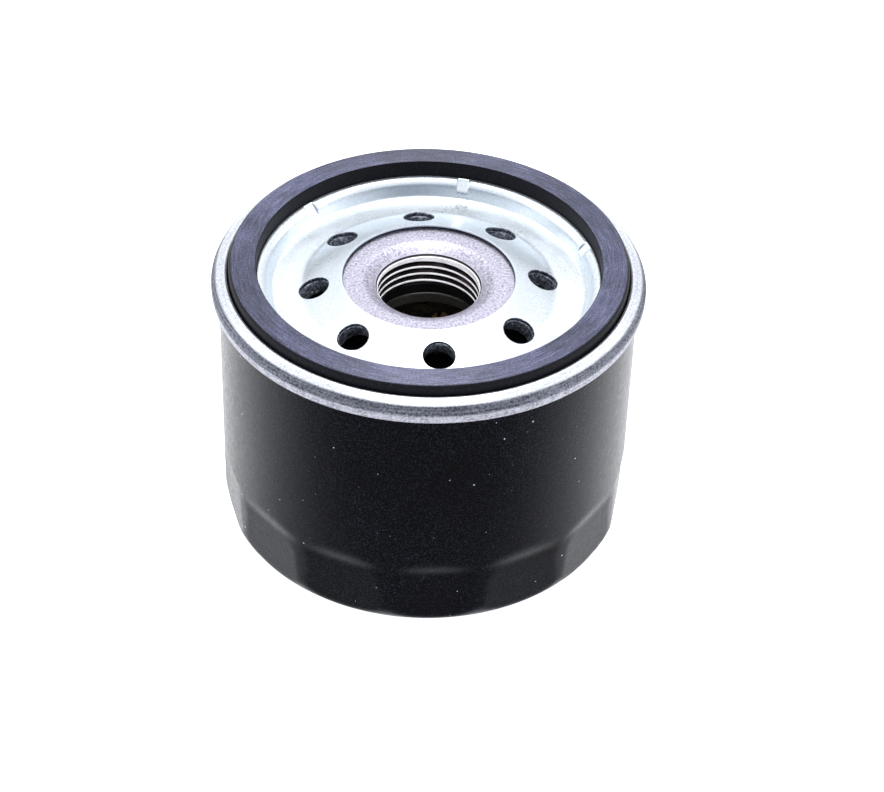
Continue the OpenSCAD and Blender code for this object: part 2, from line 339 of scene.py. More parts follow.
def paint_black():
    t = Tree("can_black_enamel")
    fine = t.noise(t.co, 3700, 2.0, 0.6)
    peel = t.noise(t.co, 900, 3.0, 0.55)
    wide = t.noise(t.co, 45, 3.0, 0.5)
    base = t.ramp(fine, [(0.46, (0.0001, 0.0001, 0.0003)), (0.54, (0.0010, 0.0011, 0.0024)), (0.60, (0.0150, 0.0155, 0.0240))])
    base = t.mix(t.range(wide, 0.40, 0.65, 0.0, 0.5), base, (0.0016, 0.0012, 0.0014))
    # sparse specks of dust lying in the paint, in two sizes
    rare = None
    for scale, share, big in ((430.0, 0.86, 0.090), (900.0, 0.90, 0.135)):
        vor = t.node("ShaderNodeTexVoronoi", {"Vector": t.co, "Scale": scale, "Randomness": 1.0})
        pick = t.node("ShaderNodeSeparateColor", {"Color": vor.outputs["Color"]})
        on_ = t.math("GREATER_THAN", pick.outputs[0], share)
        size = t.range(t.math("POWER", pick.outputs[1], 2.5), 0.0, 1.0, 0.035, big)
        dot = t.math("MULTIPLY", on_, t.math("LESS_THAN", vor.outputs["Distance"], size))
        dot = t.math("MULTIPLY", dot, t.range(pick.outputs[2], 0.0, 1.0, 0.25, 1.0))
        rare = dot if rare is None else t.math("MAXIMUM", rare, dot)
    base = t.mix(rare, base, (0.80, 0.82, 0.90))
    rough = t.range(peel, 0.3, 0.7, 0.24, 0.33)
    rough = t.math("ADD", rough, t.math("MULTIPLY", rare, 0.4))
    n1 = t.bump(peel, 0.10, 0.00010)
    n2 = t.bump(fine, 0.85, 0.00005, n1)
    n3 = t.bump(rare, 0.6, 0.00005, n2)
    face = t.node("ShaderNodeLayerWeight", {"Blend": 0.5}).outputs["Facing"]
    spec = t.ramp(face, [(0.20, (0.032,) * 3), (0.30, (0.029,) * 3), (0.36, (0.043,) * 3), (0.43, (0.077,) * 3), (0.54, (0.123,) * 3), (0.62, (0.160,) * 3), (0.80, (0.215,) * 3)])
    t.b.inputs["Specular Tint"].default_value = (0.83, 0.86, 1.0, 1)
    return t.set(color=base, rough=rough, normal=n3, spec=spec)


def zinc():
    t = Tree("lid_zinc_plate")
    r, c, s, z = t.polar()
    grain = t.noise(t.co, 2600, 2.0, 0.6)
    cloud = t.noise(t.co, 120, 4.0, 0.55)
    sweep = t.noise(t.vec(t.math("MULTIPLY", r, 700.0), t.math("MULTIPLY", c, 1.2), t.math("MULTIPLY", s, 1.2)), 1.0, 3.0, 0.5)
    col = t.mix(t.range(grain, 0.32, 0.66, 0.0, 1.0), (0.76, 0.81, 0.86), (0.91, 0.955, 0.985))
    col = t.mix(t.range(cloud, 0.4, 0.72, 0.0, 0.22), col, (0.66, 0.74, 0.86))
    col = t.mix(t.range(sweep, 0.46, 0.66, 0.0, 0.16), col, (0.68, 0.75, 0.84))
    vor = t.node("ShaderNodeTexVoronoi", {"Vector": t.co, "Scale": 190.0, "Randomness": 1.0})
    pick = t.node("ShaderNodeSeparateColor", {"Color": vor.outputs["Color"]})
    dot = t.math("MULTIPLY", t.math("GREATER_THAN", pick.outputs[0], 0.93), t.math("LESS_THAN", vor.outputs["Distance"], t.range(pick.outputs[1], 0.0, 1.0, 0.015, 0.035)))
    col = t.mix(dot, col, (0.20, 0.21, 0.24))
    line = t.noise(t.vec(t.math("MULTIPLY", r, 5200.0), t.math("MULTIPLY", c, 3.0), t.math("ADD", t.math("MULTIPLY", s, 3.0), t.math("MULTIPLY", z, 5200.0))), 1.0, 2.0, 0.5)
    rough = t.math("ADD", t.range(cloud, 0.3, 0.7, 0.27, 0.36), t.range(grain, 0.3, 0.7, -0.03, 0.06))
    n1 = t.bump(grain, 0.14, 0.00004)
    n2 = t.bump(line, 0.06, 0.00003, n1)
    return t.set(color=col, rough=rough, metal=0.93, normal=n2)


def seam_zinc():
    t = Tree("seam_zinc_plate")
    r, c, s, z = t.polar()
    grain = t.noise(t.co, 2500, 3.0, 0.7)
    rub = t.noise(t.co, 420, 4.0, 0.6)
    line = t.noise(t.vec(t.math("MULTIPLY", r, 4200.0), t.math("MULTIPLY", c, 4.0), t.math("ADD", t.math("MULTIPLY", s, 4.0), t.math("MULTIPLY", z, 4200.0))), 1.0, 3.0, 0.6)
    # lighter on the rolled top edge, darker and speckled on the skirt below it, and near black in and around the crease
    # as painted shade
    rolled = t.range(r, (CAN_R + 0.28) * MM, (CAN_R + 0.62) * MM, 0.0, 1.0)
    skirt = t.math("MULTIPLY", t.range(r, (CAN_R + 0.90) * MM, (CAN_R + 1.10) * MM, 0.0, 1.0), t.range(z, (ZT - 4.25) * MM, (ZT - 3.75) * MM, 1.0, 0.0))
    f = t.math("ADD", t.math("MULTIPLY", grain, 0.65), t.math("MULTIPLY", line, 0.35))
    bright = t.ramp(f, [(0.38, (0.52, 0.54, 0.60)), (0.60, (0.88, 0.90, 0.94))])
    # painted shade: the crease and the outer wall round it get a near-black colour
    crease_shade = t.ramp(f, [(0.40, (0.04, 0.043, 0.055)), (0.62, (0.26, 0.27, 0.32))])
    skirt_tone = t.ramp(f, [(0.40, (0.16, 0.16, 0.185)), (0.50, (0.29, 0.29, 0.335)), (0.61, (0.53, 0.53, 0.585))])
    skirt_tone = t.mix(t.range(rub, 0.48, 0.62, 0.0, 0.45), skirt_tone, (0.49, 0.49, 0.545))
    col = t.mix(skirt, t.mix(rolled, bright, crease_shade), skirt_tone)
    # painted shade: the pocket under the gasket, inside the seam, is coloured dark
    col = t.mix(t.range(z, (ZT - 4.2) * MM, (ZT - 3.0) * MM, 0.75, 0.0), col, t.mix(t.range(r, 0.0372, 0.0376, 1.0, 0.0), col, (0.08, 0.08, 0.10)))
    rough = t.math("ADD", t.range(grain, 0.3, 0.7, 0.30, 0.42), t.math("MULTIPLY", rolled, 0.12))
    n1 = t.bump(grain, 0.30, 0.00004)
    n2 = t.bump(line, 0.20, 0.00003, n1)
    return t.set(color=col, rough=rough, metal=0.92, normal=n2)


def plate_steel():
    t = Tree("plate_bare_steel")
    r, c, s, z = t.polar()
    grain = t.noise(t.co, 2300, 3.0, 0.65)
    cloud = t.noise(t.co, 150, 4.0, 0.55)
    col = t.ramp(grain, [(0.34, (0.24, 0.23, 0.28)), (0.50, (0.475, 0.46, 0.55)), (0.66, (0.67, 0.65, 0.76))])
    col = t.mix(t.range(cloud, 0.42, 0.70, 0.0, 0.35), col, (0.40, 0.365, 0.43))
    # small darker pits, and a browner mouth
    vor = t.node("ShaderNodeTexVoronoi", {"Vector": t.co, "Scale": 900.0}).outputs["Distance"]
    pit = t.range(vor, 0.10, 0.22, 1.0, 0.0)
    col = t.mix(t.math("MULTIPLY", pit, 0.35), col, (0.17, 0.15, 0.19))
    col = t.mix(t.math("MULTIPLY", t.range(r, 0.0097, 0.0112, 0.22, 0.0), t.range(z, (ZT - 5.6) * MM, (ZT - 4.9) * MM, 1.0, 0.2)), col, (0.20, 0.165, 0.19))
    rough = t.range(grain, 0.3, 0.7, 0.38, 0.52)
    n1 = t.bump(grain, 0.28, 0.00006)
    n2 = t.bump(pit, -0.25, 0.00004, n1)
    return t.set(color=col, rough=rough, metal=0.90, normal=n2)


def cut_steel():
    """Punched edges and hole walls: dark raw steel with a grey speckle, kept darker as painted shade."""
    t = Tree("punched_edge_steel")
    grain = t.noise(t.co, 1900, 3.0, 0.7)
    cloud = t.noise(t.co, 500, 3.0, 0.6)
    col = t.ramp(t.math("ADD", t.math("MULTIPLY", grain, 0.7), t.math("MULTIPLY", cloud, 0.3)), [(0.42, (0.050, 0.056, 0.072)), (0.54, (0.19, 0.21, 0.26)), (0.66, (0.60, 0.64, 0.72))])
    # the edge of the lid's centre opening: light zinc tone on its upper part where it is rolled over, near black below
    # it as painted shade of the gap under the lid
    r, c, s, z = t.polar()
    edge = t.ramp(t.range(z, (ZT - 4.00) * MM, (ZT - 3.80) * MM, 0.0, 1.0), [(0.2, (0.012, 0.013, 0.022)), (0.8, (0.66, 0.71, 0.78))])
    rim = t.math("MULTIPLY", t.range(r, 0.0164, 0.0165, 1.0, 0.0), t.range(z, (ZT - 4.45) * MM, (ZT - 4.40) * MM, 0.0, 1.0))
    col = t.mix(rim, col, edge)
    return t.set(color=col, rough=t.range(grain, 0.3, 0.7, 0.45, 0.6), metal=0.85, normal=t.bump(grain, 0.4, 0.00006))


def thread_steel():
    t = Tree("thread_cut_steel")
    r, c, s, z = t.polar()
    depth = t.range(r, 0.00919, 0.00999, 0.0, 1.0)
    low = t.range(z, (ZT - 6.92) * MM, (ZT - 6.75) * MM, 1.0, 0.0)          # above it lies the countersink
    depth = t.math("MULTIPLY", depth, low)
    grain = t.noise(t.co, 1800, 3.0, 0.6)
    stain = t.noise(t.vec(c, s, t.math("MULTIPLY", z, 300.0)), 2.2, 3.0, 0.6)
    # painted light and shade: crests and the band under the countersink are coloured near white and non-metallic as
    # painted highlight, the roots near black as painted shade
    col = t.ramp(depth, [(0.0, (0.98, 0.965, 0.985)), (0.07, (0.94, 0.92, 0.95)), (0.16, (0.011, 0.008, 0.010)), (1.0, (0.0015, 0.001, 0.0015))])
    col = t.mix(t.math("MULTIPLY", t.range(stain, 0.50, 0.7, 0.0, 1.0), 0.35), col, (0.10, 0.07, 0.075))
    # painted shade: a near-black line round the mouth just above the countersink, with a grey speckle on the
    # countersink just below it and plate grey above it
    sink = t.range(z, (ZT - 6.60) * MM, (ZT - 6.45) * MM, 0.0, 1.0)
    col = t.mix(t.math("MULTIPLY", sink, t.range(t.noise(t.co, 2400, 2.0, 0.6), 0.50, 0.60, 0.0, 0.55)), col, (0.50, 0.46, 0.52))
    col = t.mix(t.range(z, (ZT - 6.18) * MM, (ZT - 6.14) * MM, 0.0, 1.0), col, (0.010, 0.008, 0.012))
    col = t.mix(t.range(z, (ZT - 5.79) * MM, (ZT - 5.755) * MM, 0.0, 1.0), col, (0.46, 0.445, 0.53))
    rough = t.range(grain, 0.3, 0.7, 0.42, 0.55)
    cut = t.noise(t.vec(c, s, t.math("MULTIPLY", z, 9000.0)), 1.0, 2.0, 0.5)
    return t.set(color=col, rough=rough, metal=t.range(depth, 0.06, 0.18, 0.0, 0.90), normal=t.bump(cut, 0.2, 0.00003))


def rubber(name, low, high, rough=(0.45, 0.6), spec=0.5):
    t = Tree(name)
    fine = t.noise(t.co, 2400, 3.0, 0.6)
    cloud = t.noise(t.co, 90, 4.0, 0.6)
    f = t.math("ADD", t.math("MULTIPLY", fine, 0.5), t.math("MULTIPLY", cloud, 0.5))
    return t.set(color=t.ramp(f, [(0.36, low), (0.64, high)]), rough=t.range(cloud, 0.3, 0.7, *rough), normal=t.bump(fine, 0.14, 0.00005), spec=spec)


def gasket_rubber():
    """Black rubber whose ground top face is coloured a lighter blue-grey as painted light from above, with fine marks
    round the ring.
    """
    t = Tree("gasket_nitrile")
    r, c, s, z = t.polar()
    fine = t.noise(t.co, 2600, 3.0, 0.65)
    cloud = t.noise(t.co, 75, 4.0, 0.6)
    ground = t.noise(t.vec(t.math("MULTIPLY", r, 4600.0), t.math("MULTIPLY", c, 9.0), t.math("MULTIPLY", s, 9.0)), 1.0, 3.0, 0.65)
    turn = t.noise(t.vec(t.math("MULTIPLY", r, 2600.0), t.math("MULTIPLY", c, 3.0), t.math("MULTIPLY", s, 3.0)), 1.0, 3.0, 0.6)
    nz = t.node("ShaderNodeSeparateXYZ", {"Vector": t.node("ShaderNodeNewGeometry").outputs["Normal"]}).outputs[2]
    # painted light: faces that point up near the sealing face get the lighter blue-grey colour, the walls keep the
    # near-black one
    top = t.math("MULTIPLY", t.range(nz, 0.80, 0.97, 0.0, 1.0), t.range(z, (ZT - 0.5) * MM, (ZT - 0.1) * MM, 0.0, 1.0))
    f = t.math("ADD", t.math("ADD", t.math("MULTIPLY", fine, 0.34), t.math("MULTIPLY", cloud, 0.28)), t.math("MULTIPLY", ground, 0.38))
    top_painted_light_and_marks = t.ramp(f, [(0.40, (0.008, 0.009, 0.024)), (0.50, (0.052, 0.054, 0.111)), (0.60, (0.148, 0.155, 0.270))])
    # short dark scores and rubbed patches
    score = t.noise(t.node("ShaderNodeMapping", {"Vector": t.co, "Rotation": (0, 0, 0.7), "Scale": (260.0, 1500.0, 100.0)}).outputs[0], 1.0, 3.0, 0.55, 0.8)
    where = t.range(t.noise(t.co, 115, 2.0, 0.5), 0.58, 0.68, 0.0, 1.0)
    dark = t.math("MULTIPLY", t.range(score, 0.60, 0.68, 0.0, 1.0), where)
    top_painted_light_and_marks = t.mix(t.math("MULTIPLY", dark, 0.75), top_painted_light_and_marks, (0.012, 0.012, 0.018))
    pale = t.math("MULTIPLY", t.range(turn, 0.66, 0.74, 0.0, 1.0), t.range(t.noise(t.co, 240, 2.0, 0.5), 0.5, 0.62, 0.0, 1.0))
    top_painted_light_and_marks = t.mix(t.math("MULTIPLY", pale, 0.35), top_painted_light_and_marks, (0.20, 0.20, 0.29))
    wall = t.ramp(fine, [(0.35, (0.0025, 0.0027, 0.0040)), (0.62, (0.0075, 0.0080, 0.0120)), (0.74, (0.030, 0.031, 0.040))])
    col = t.mix(top, wall, top_painted_light_and_marks)
    n = t.bump(ground, 0.30, 0.00003, t.bump(fine, 0.16, 0.00005))
    tan = t.node("ShaderNodeTangent", direction_type="RADIAL", axis="Z").outputs[0]
    t.t.links.new(tan, t.b.inputs["Tangent"])
    t.b.inputs["Anisotropic Rotation"].default_value = 0.25
    return t.set(color=col, rough=t.range(top, 0.0, 1.0, 0.55, 0.42), normal=n, spec=t.range(top, 0.0, 1.0, 0.14, 0.72), aniso=t.math("MULTIPLY", top, 0.85))


def sheet_metal(name, low, high, rough=(0.25, 0.4), round_marks=True, metal=0.95, swirl=None):
    t = Tree(name)
    r, c, s, z = t.polar()
    grain = t.noise(t.co, 1700, 3.0, 0.6)
    cloud = t.noise(t.co, 110, 4.0, 0.6)
    col = t.ramp(t.math("ADD", t.math("MULTIPLY", grain, 0.45), t.math("MULTIPLY", cloud, 0.55)), [(0.35, low), (0.65, high)])
    if swirl:
        slope = t.noise(t.vec(t.math("MULTIPLY", c, 3.0), 0.0, t.math("ADD", t.math("MULTIPLY", z, 420.0), t.math("MULTIPLY", c, 1.6))), 1.0, 3.0, 0.5)
        col = t.mix(t.range(slope, 0.52, 0.62, 0.0, 0.8), col, swirl)
    v = t.vec(t.math("MULTIPLY", r, 4200.0), t.math("MULTIPLY", c, 3.0), t.math("ADD", t.math("MULTIPLY", s, 3.0), t.math("MULTIPLY", z, 2600.0)))
    line = t.noise(v if round_marks else t.node("ShaderNodeMapping", {"Vector": t.co, "Scale": (200.0, 4200.0, 4200.0)}).outputs[0], 1.0, 2.0, 0.55)
    n = t.bump(line, 0.16, 0.00004, t.bump(grain, 0.10, 0.00004))
    return t.set(color=col, rough=t.range(cloud, 0.3, 0.7, *rough), metal=metal, normal=n)


def filter_paper():
    t = Tree("filter_paper_resin")
    fibre = t.noise(t.node("ShaderNodeMapping", {"Vector": t.co, "Scale": (900.0, 900.0, 300.0)}).outputs[0], 1.0, 5.0, 0.65, 1.2)
    fine = t.noise(t.co, 3000, 3.0, 0.6)
    cloud = t.noise(t.co, 70, 3.0, 0.5)
    col = t.ramp(fibre, [(0.30, (0.50, 0.33, 0.12)), (0.52, (0.66, 0.46, 0.19)), (0.75, (0.80, 0.62, 0.33))])
    col = t.mix(t.range(cloud, 0.35, 0.7, 0.0, 0.3), col, (0.56, 0.36, 0.13))
    n = t.bump(fine, 0.3, 0.00006, t.bump(fibre, 0.5, 0.0001))
    return t.set(color=col, rough=t.range(fibre, 0.3, 0.7, 0.72, 0.88), normal=n, spec=0.25, sheen=0.15)


def potting_glue():
    t = Tree("plastisol_potting")
    blob = t.noise(t.co, 260, 3.0, 0.5)
    fine = t.noise(t.co, 1500, 3.0, 0.6)
    col = t.ramp(blob, [(0.3, (0.07, 0.028, 0.020)), (0.7, (0.13, 0.055, 0.038))])
    return t.set(color=col, rough=t.range(fine, 0.3, 0.7, 0.32, 0.48), normal=t.bump(blob, 0.5, 0.0003, t.bump(fine, 0.2, 0.00005)), spec=0.45)


M_PAINT = paint_black()
M_ZINC = zinc()
M_SEAM = seam_zinc()
M_CUT = cut_steel()
M_PLATE = plate_steel()
M_THREAD = thread_steel()
M_GASKET = gasket_rubber()
M_VALVE = rubber("valve_nitrile", (0.0035, 0.0035, 0.004), (0.009, 0.009, 0.010), (0.5, 0.65), 0.25)
M_COMPOUND = rubber("seam_compound_dry", (0.05, 0.045, 0.04), (0.09, 0.08, 0.07), (0.6, 0.8), 0.4)
M_TIN = sheet_metal("end_cap_tinplate", (0.40, 0.40, 0.39), (0.62, 0.62, 0.60))
M_TUBE = sheet_metal("tube_rolled_steel", (0.10, 0.085, 0.07), (0.24, 0.205, 0.17), (0.3, 0.45), swirl=(0.42, 0.36, 0.28))
M_BYPASS = sheet_metal("bypass_dark_steel", (0.035, 0.033, 0.030), (0.10, 0.095, 0.085), (0.3, 0.42), swirl=(0.26, 0.22, 0.17))
M_SPRING = sheet_metal("spring_oiled_steel", (0.18, 0.18, 0.19), (0.36, 0.36, 0.38), (0.25, 0.4), round_marks=False)
M_PAPER = filter_paper()
M_POTTING = potting_glue()


# ------------------------------------------------------------------ can
def smin(a, b, k):
    h = np.maximum(k - np.abs(a - b), 0) / k
    return np.minimum(a, b) - h * h * k / 4


def make_can():
    n = FLUTES * 32
    th = angles(n, FLUTE_AZ)
    pitch = 2 * math.pi / FLUTES
    d = (th - math.radians(FLUTE_AZ) + pitch / 2) % pitch - pitch / 2

    def flat(z):
        # a shallow flat that leans out slightly and eases into its shoulder
        lean = 36.88 + 0.30 * min(max(z, 0.0), 14.0) / 14.0
        t = max(0.0, z - 12.8)
        rise = 0.22 * min(t, 1.0) ** 2 + 0.44 * max(0.0, t - 1.0)
        return (lean + rise) / np.cos(d)

    def outer(r, z):
        if r < 33.0 or z > 21.0:
            return np.full(n, r)
        return smin(np.full(n, float(r)), flat(z), 0.10 + 0.60 * min(1, max(0, (z - 11.0) / 3.0)))

    line = rounded([(0, 0.8), (24.4, 0.8, 2.2), (26.2, 0.0, 2.2), (CAN_R, 0.0, 4.4), (CAN_R, ZT - 20)], 12)
    wall = split(line, 0.72, closed=False)
    skin = [p for p in wall if p[1] <= ZT - 20 + 1e-6]
    inner = beside(split(line, 1.3, closed=False), -0.4)      # up the wall, the inside lies on the left
    net = Net()
    rings = []
    centre = (0, 0, skin[0][1])
    for r, z in skin[1:]:
        rings.append(net.ring(th, outer(r, z), z))
    for r, z in [(CAN_R, ZT - 12), (CAN_R, ZT - 6.5), (CAN_R, ZT - 3.66), (CAN_R + 0.06, ZT - 3.58), (CAN_R + 0.34, ZT - 3.6), (CAN_R + 0.34, ZT - 5.0),
                 (CAN_R + 0.59, ZT - 5.0), (CAN_R + 0.59, ZT - 3.3), (CAN_R + 0.50, ZT - 3.21), (CAN_R - 0.30, ZT - 3.21), (CAN_R - 0.4, ZT - 3.3), (CAN_R - 0.4, ZT - 12)]:
        rings.append(net.ring(th, r, z))
    for r, z in inner[:0:-1]:
        rr = outer(r + 0.4, z) - 0.4 if z > 0.9 and r > 33 else np.full(n, r)
        rings.append(net.ring(th, rr, z))
    for a, b in zip(rings, rings[1:]):
        net.strip(a, b)
    net.fan(rings[0], centre)
    net.fan(rings[-1][::-1], (0, 0, inner[0][1]))
    ob = to_object(net, "can_shell", M_PAINT, sharp=50)
    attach(ob, "housing"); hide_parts("can")
    return ob


# ------------------------------------------------------------------ lid
LID_TOP = rounded([(15.63, ZT - 3.61), (23.05, ZT - 3.61 - CONE * 7.42, 3.0), (28.35, ZT - 6.28, 0.6), (29.5, ZT - 3.1, 1.7),
                   (30.95, ZT - 3.1, 0.2), (30.95, ZT - 5.0, 0.25), (36.16, ZT - 5.0, 0.4), (36.16, ZT - 2.3)], 9)
LID_LOW = beside(LID_TOP, 0.6)


def height_on(line, lo, hi):
    pts = np.array([p for p in line if lo <= p[0] <= hi])
    pts = pts[np.argsort(pts[:, 0])]
    return lambda r: float(np.interp(r, pts[:, 0], pts[:, 1]))


def hole_axis(mid):
    return np.array([math.sin(CONE_A) * math.cos(mid), math.sin(CONE_A) * math.sin(mid), math.cos(CONE_A)])


def hole_centre(surf):
    """Radius at which the hole's axis meets a surface z = surf(r)."""
    r0, z0 = HOLE_PC, ZT - 3.61 - CONE * (HOLE_PC - 15.63)
    lo, hi = -1.0, 6.0
    for _ in range(50):
        d = (lo + hi) / 2
        r, z = r0 - math.sin(CONE_A) * d, z0 - math.cos(CONE_A) * d
        lo, hi = (d, hi) if z > surf(r) else (lo, d)
    return r


def cone_edge(surf, rad):
    rc = hole_centre(surf)

    def edge(mid, ph, centre=False):
        if centre:
            return rc
        x, y = rc + rad * math.sin(ph) * math.cos(CONE_A), rad * math.cos(ph)
        return (mid + math.atan2(y, x), math.hypot(x, y))
    return edge


def on(surf):
    return lambda a, r: (r * math.cos(a), r * math.sin(a), surf(r))


def punch(net, top, low, lip):
    """Joins the hole rings of the upper and lower faces with a wall whose rims are rounded over."""
    for (ia, ph, mid), (ib, _, _) in zip(top, low):
        ax = hole_axis(mid)
        a = np.array([net.v[i] for i in ia])
        b = np.array([net.v[i] for i in ib])
        ca, cb = a.mean(0), b.mean(0)

        def inward(p, c, w):
            d = (c - p) - ((c - p) @ ax)[:, None] * ax
            return p + d / np.linalg.norm(d, axis=1)[:, None] * w
        rows = [ia]
        for q in (30, 60, 90):
            s = math.radians(q)
            rows.append(net.add(inward(a, ca, lip * math.sin(s)) - ax * lip * (1 - math.cos(s))))
        for q in (90, 60, 30):
            s = math.radians(q)
            rows.append(net.add(inward(b, cb, lip * math.sin(s)) + ax * lip * (1 - math.cos(s))))
        rows.append(ib)
        for x, y in zip(rows, rows[1:]):
            net.strip(x, y)


STAKE_AZ = [18.5, 78.5, 138.5, 198.5, 258.5, 318.5]


def make_lid():
    # columns of the mesh, closer together at the stake marks
    base = [HOLE_AZ - 22.5 + 0.9375 * i for i in range(384)]
    fine = [a + s * d for a in STAKE_AZ for d in (0, 0.45, 0.9, 1.3, 1.65, 1.86, 1.98, 2.12, 2.3) for s in (-1, 1)]
    away = [a for a in base if min(abs((a - q + 180) % 360 - 180) for q in STAKE_AZ) > 2.45]
    deg = sorted({round((a - base[0]) % 360, 4) for a in away + fine})
    th = np.radians(np.array(deg) + base[0])
    bounds = [deg.index(round(45.0 * i, 4)) for i in range(HOLES)]
    n = len(th)
    top = height_on(LID_TOP, 15.6, 26.8)
    low = height_on(LID_LOW, 15.3, 27.2)
    seam = rounded([(36.16, ZT - 2.30), (36.20, ZT - 1.92, 0.25), (36.62, ZT - 1.74, 0.35), (37.10, ZT - 1.80, 0.5),
                    (CAN_R + 0.50, ZT - 2.45, 0.5), (CAN_R + 0.86, ZT - 2.84, 0.20), (CAN_R + 0.80, ZT - 3.20, 0.14), (CAN_R + 1.18, ZT - 3.42, 0.25),
                    (CAN_R + 1.33, ZT - 3.85, 0.6), (CAN_R + 1.29, ZT - 4.80, 1.0), (CAN_R + 1.08, ZT - 5.58, 0.4), (CAN_R + 0.86, ZT - 5.80, 0.2),
                    (CAN_R + 0.25, ZT - 5.80, 0.15), (CAN_R + 0.06, ZT - 5.62, 0.1), (CAN_R + 0.06, ZT - 3.66)], 4)
    fold = [(CAN_R + 0.29, ZT - 3.66), (CAN_R + 0.29, ZT - 5.40), (CAN_R + 0.64, ZT - 5.40), (CAN_R + 0.64, ZT - 3.16),
            (CAN_R + 0.16, ZT - 2.86), (36.84, ZT - 2.36)]
    t_out = split([p for p in LID_TOP if p[0] > 24.6 or p[1] > ZT - 3.0], 0.45, closed=False)
    b_out = split([p for p in LID_LOW if p[0] > 24.6 or p[1] > ZT - 3.0][::-1], 1.3, closed=False)
    loop = [(24.4, top(24.4))] + t_out + seam[1:] + fold + b_out + [(24.4, low(24.4))]
    mark = len(t_out) + 1
    inner = [(17.3, low(17.3)), (16.6, low(16.6)), (15.9, low(15.9))]
    lowest, highest = LID_LOW[0], LID_TOP[0]
    inner += arc_at((16.2, low(16.2)), lowest, highest, 0.06, 2) + arc_at(lowest, highest, (16.2, top(16.2)), 0.09, 3)
    cut = len(inner) - 4
    inner += [(16.1, top(16.1)), (16.4, top(16.4)), (17.0, top(17.0)), (17.3, top(17.3))]
    near = np.full(n, 9.0)
    for az in STAKE_AZ:
        d = (th - math.radians(az) + math.pi) % (2 * math.pi) - math.pi
        near = np.minimum(near, np.abs(d) * 29.3)
    w = np.clip((1.10 - near) / 0.10, 0, 1)
    net = Net()

    def ring(r, z, face_up=True):
        rr, zz = np.full(n, float(r)), np.full(n, float(z))
        if face_up and 28.3 < r < 30.9 and z > ZT - 5.2:
            # stake marks: flats pressed at 45 degrees into the lip's inner top corner
            s = (z - ZT - r + 33.74) * 0.7071
            if s > 0:
                rr, zz = rr + 0.7071 * s * w, zz - 0.7071 * s * w
        return net.ring(th, rr, zz)

    rings = [ring(*p, face_up=i < mark) for i, p in enumerate(loop)]
    for i, (a, b) in enumerate(zip(rings, rings[1:])):
        net.now = 1 if loop[i][0] > 35.9 else 0
        net.strip(a, b)
    net.now = 0
    inn = [ring(*p) for p in inner]
    for i, (a, b) in enumerate(zip(inn, inn[1:])):
        net.now = 2 if 2 <= i <= cut + 1 else 0
        net.strip(a, b)
    net.now = 0
    e = 0.12
    hi = holed_band(net, th, inn[-1], rings[0], 17.3, 24.4, bounds, 20.7, cone_edge(top, HOLE_R + e), on(top), side=30, rings=7)
    lo = holed_band(net, th, inn[0], rings[-1], 17.3, 24.4, bounds, 20.7, cone_edge(low, HOLE_R + e), on(low), side=30, rings=3, phis=[f[1] for f in hi])
    net.now = 2
    punch(net, hi, lo, e)
    ob = to_object(net, "lid_sheet", [M_ZINC, M_SEAM, M_CUT], sharp=44)
    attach(ob, "housing"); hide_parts("lid")
    return ob


# ------------------------------------------------------------------ tapping plate with its thread
PLATE_TOP = [(12.0, ZT - 4.55), (16.05, ZT - 4.55), (22.72, ZT - 6.95), (29.4, ZT - 6.95), (30.7, ZT - 5.68), (36.9, ZT - 5.68)]
PLATE_LOW = [(12.3, ZT - 7.15), (15.6, ZT - 7.15), (22.2, ZT - 9.55), (29.9, ZT - 9.55), (31.2, ZT - 8.28), (36.9, ZT - 8.28)]


def mouth(z):
    """Radius of the dished mouth of the hole, and of the step and countersink under it, at height z."""
    s = (z - (ZT - 5.83)) / 1.28
    if s >= 0:
        return 11.99 - 2.49 * max(0.0, 1 - s) ** 0.72
    return max(THREAD_MINOR, 9.50 - max(0.0, ZT - 6.01 - z) * 1.05)


def zip_rings(bm, edges, mat):
    """Joins two open edges that each go once round the axis with a strip of triangles."""
    left, loops = set(edges), []
    while left:
        stack, vs = [left.pop()], set()
        while stack:
            for v in stack.pop().verts:
                vs.add(v)
                for x in v.link_edges:
                    if x in left:
                        left.discard(x)
                        stack.append(x)
        loops.append(sorted(vs, key=lambda v: math.atan2(v.co.y, v.co.x)))
    if len(loops) != 2:
        raise RuntimeError("two open edges expected, found %d" % len(loops))
    a, b = loops
    turn = [[math.atan2(v.co.y, v.co.x) for v in s] for s in loops]
    i = j = 0
    while i < len(a) or j < len(b):
        ta = turn[0][i + 1] if i + 1 < len(a) else turn[0][0] + 2 * math.pi
        tb = turn[1][j + 1] if j + 1 < len(b) else turn[1][0] + 2 * math.pi
        va, vb = a[i % len(a)], b[j % len(b)]
        if j >= len(b) or (i < len(a) and ta <= tb):
            f = (va, a[(i + 1) % len(a)], vb)
            i += 1
        else:
            f = (va, b[(j + 1) % len(b)], vb)
            j += 1
        bm.faces.new(f).material_index = mat


